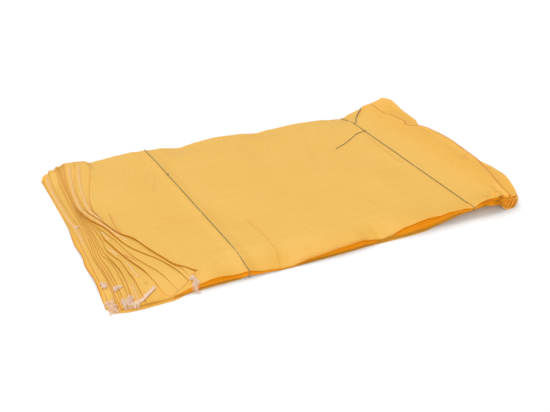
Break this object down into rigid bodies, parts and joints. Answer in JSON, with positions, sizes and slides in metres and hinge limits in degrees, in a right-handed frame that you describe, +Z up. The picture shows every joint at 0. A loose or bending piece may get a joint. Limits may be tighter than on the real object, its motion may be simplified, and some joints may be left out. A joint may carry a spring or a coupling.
{
  "type": "bundle of empty woven cement sacks",
  "caption": "Flat bundle of empty yellow woven polypropylene sacks, tied across with two thin twines.",
  "frame": {"origin": "middle of the underside, on the surface that the bundle lies on", "axes": "+X along the sacks from their sewn ends to their open mouths, +Y from the front edge to the back edge, +Z up"},
  "size_m": [0.947, 0.581, 0.0455],
  "materials": {
    "woven_fabric": "golden yellow woven polypropylene tape, slightly glossy",
    "twine": "grey brown twine, matt"
  },
  "bodies": {
    "root": {"sack_01": "woven_fabric", "sack_02": "woven_fabric", "sack_03": "woven_fabric", "sack_04": "woven_fabric", "sack_05": "woven_fabric", "sack_06": "woven_fabric", "sack_07": "woven_fabric", "sack_08": "woven_fabric", "sack_09": "woven_fabric", "sack_10": "woven_fabric", "sack_11": "woven_fabric", "sack_12": "woven_fabric", "sack_13": "woven_fabric", "sack_14": "woven_fabric", "tie_left": "twine", "tie_right": "twine", "tie_right_long_tail": "twine", "tie_right_pair_tail": "twine"}
  },
  "joints": []
}
